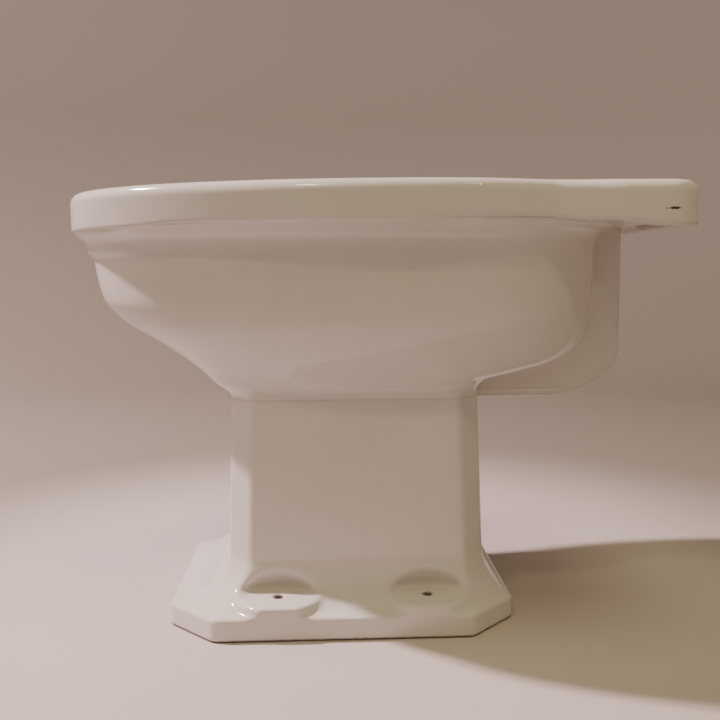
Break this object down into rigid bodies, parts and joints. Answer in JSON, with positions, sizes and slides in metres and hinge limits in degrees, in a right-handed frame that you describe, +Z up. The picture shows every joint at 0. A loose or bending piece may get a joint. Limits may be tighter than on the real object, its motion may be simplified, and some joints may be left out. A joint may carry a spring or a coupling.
{
  "type": "pedestal bidet",
  "caption": "Floor-standing glazed fireclay basin on an octagonal pedestal, oval rim with tap deck, overflow channel, screw-down foot, waste, plug and bottle trap.",
  "frame": {"origin": "on the floor, under the middle of the rim's length and width", "axes": "+Z up; the rounded front points to -Y and the tap deck to +Y; width along X"},
  "size_m": [0.352, 0.563, 0.4],
  "materials": {
    "fireclay": "glossy",
    "chromed_brass": "polished",
    "brass": "satin",
    "rubber_black": "matte"
  },
  "bodies": {
    "fixture": {"rim_deck": "fireclay", "bowl": "fireclay", "overflow_channel": "fireclay", "pedestal": "fireclay", "pedestal_foot": "fireclay", "waste_flange": "chromed_brass", "waste_bedding_washer": "rubber_black", "waste_under_washer": "rubber_black", "waste_backnut": "brass", "trap_inlet_nut": "brass", "trap_inlet_washer": "rubber_black", "trap_body": "brass", "trap_outlet_nut": "brass", "trap_outlet_washer": "rubber_black", "outlet_bend": "brass", "pipe_seal": "rubber_black", "drop_pipe": "chromed_brass", "floor_collar": "chromed_brass"},
    "plug": {"waste_plug": "rubber_black", "plug_eye": "chromed_brass"},
    "ring": {"plug_ring": "chromed_brass"},
    "cup_seal": {"trap_cup_seal": "rubber_black"},
    "cup": {"trap_cup": "brass"}
  },
  "joints": [
    {"name": "plug_lift", "type": "slide", "parent": "fixture", "child": "plug", "axis": [0, 0, 1], "range_m": [0, 0.16]},
    {"name": "ring_swing", "type": "hinge", "parent": "plug", "child": "ring", "pos_m": [0, 0.043, 0.26], "axis": [1, 0, 0], "range_deg": [0, 150]},
    {"name": "cup_lower", "type": "slide", "parent": "fixture", "child": "cup_seal", "axis": [0, 0, -1], "range_m": [0, 0.012]},
    {"name": "cup_unscrew", "type": "hinge", "parent": "cup_seal", "child": "cup", "pos_m": [0, 0.043, 0.09], "axis": [0, 0, -1], "range_deg": [0, 1440]}
  ],
  "couplings": [
    {"joint": "cup_lower", "follows": "cup_unscrew", "m_per_rad": 0.00047746}
  ]
}
